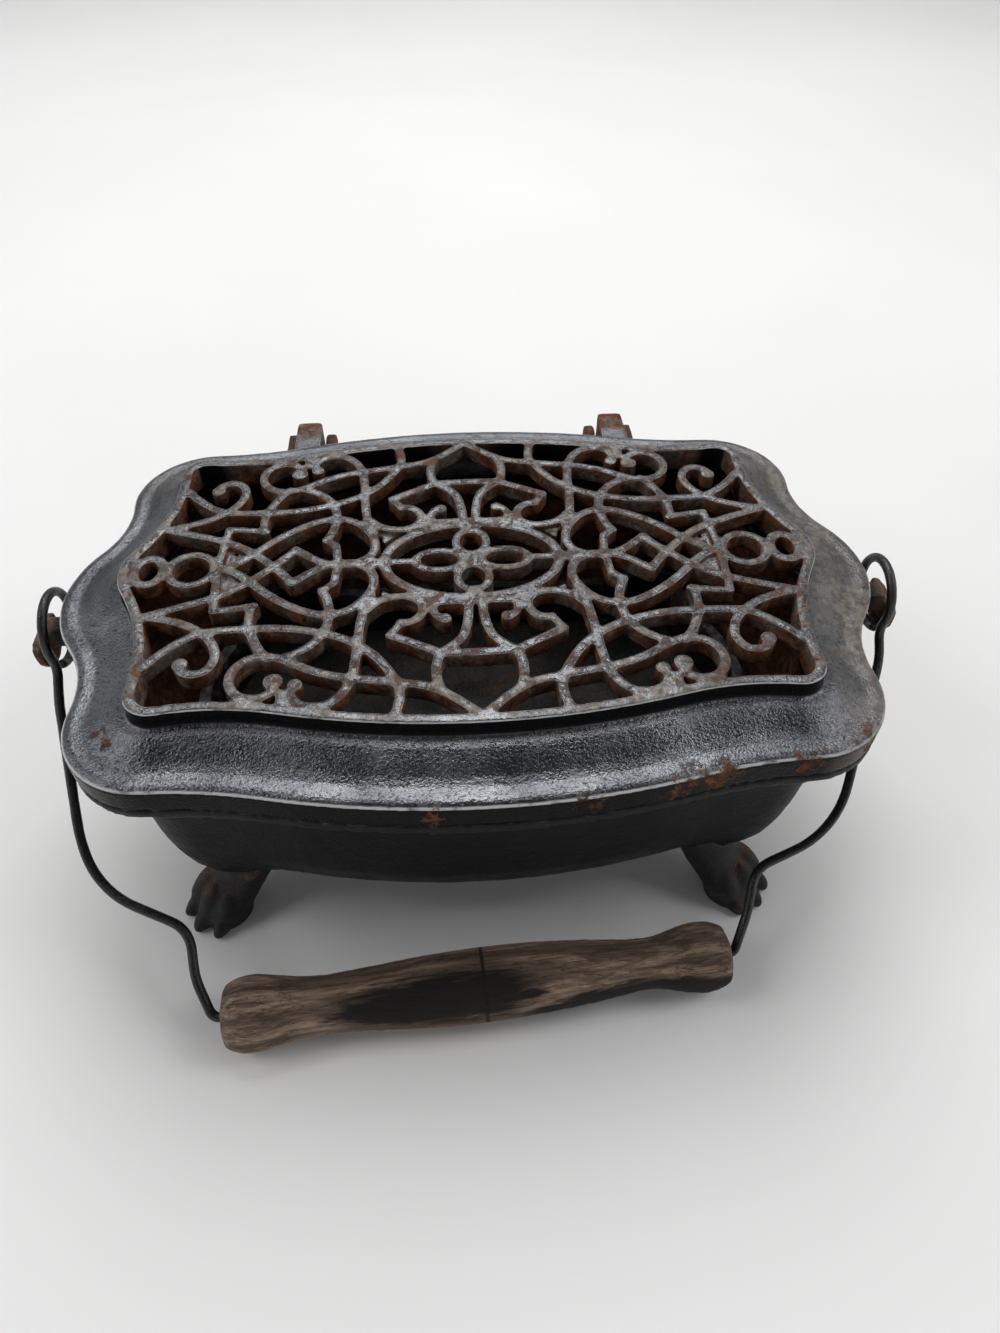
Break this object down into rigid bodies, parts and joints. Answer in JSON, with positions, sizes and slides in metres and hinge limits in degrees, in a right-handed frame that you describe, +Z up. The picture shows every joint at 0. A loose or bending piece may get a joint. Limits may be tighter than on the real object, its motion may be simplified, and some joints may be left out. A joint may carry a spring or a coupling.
{
  "type": "foot warmer",
  "caption": "Low cast-iron foot warmer: tub on four paw feet, hinged lid with a pierced scrollwork top, wire bail with a turned wooden grip and a loose ember pan.",
  "frame": {"origin": "on the floor, under the middle of the whole part's bounding box", "axes": "+X along the tub towards the right end, +Y to the hinges at the back, +Z up out of the lid"},
  "size_m": [0.312, 0.2382, 0.115],
  "materials": {
    "cast_iron": "blackened, worn and rusted in the hollows",
    "wire": "dark, worn",
    "sheet_iron": "sooty and rusted",
    "wood": "bare, grey-brown, scorched in places"
  },
  "bodies": {
    "tub": {"tub": "cast_iron", "hinge_pin_left": "wire", "hinge_pin_right": "wire", "foot_front_left": "cast_iron", "foot_front_right": "cast_iron", "foot_back_left": "cast_iron", "foot_back_right": "cast_iron", "foot_rivets": "wire"},
    "lid": {"lid": "cast_iron"},
    "bail": {"bail_wire": "wire"},
    "grip": {"bail_grip": "wood"},
    "pan": {"ember_pan": "sheet_iron"}
  },
  "joints": [
    {"name": "lid_hinge", "type": "hinge", "parent": "tub", "child": "lid", "pos_m": [0, 0.11074, 0.0895], "axis": [-1, 0, 0], "range_deg": [0, 105]},
    {"name": "bail_swing", "type": "hinge", "parent": "tub", "child": "bail", "pos_m": [0, 0.00524, 0.0913], "axis": [-1, 0, 0], "range_deg": [0, 252]},
    {"name": "grip_spin", "type": "hinge", "parent": "bail", "child": "grip", "pos_m": [-0.0034, -0.10156, 0.0128], "axis": [0.998, 0.0625, 0], "continuous": true},
    {"name": "ember_pan_lift", "type": "slide", "parent": "tub", "child": "pan", "axis": [0, 0, 1], "range_m": [0, 0.045]}
  ]
}
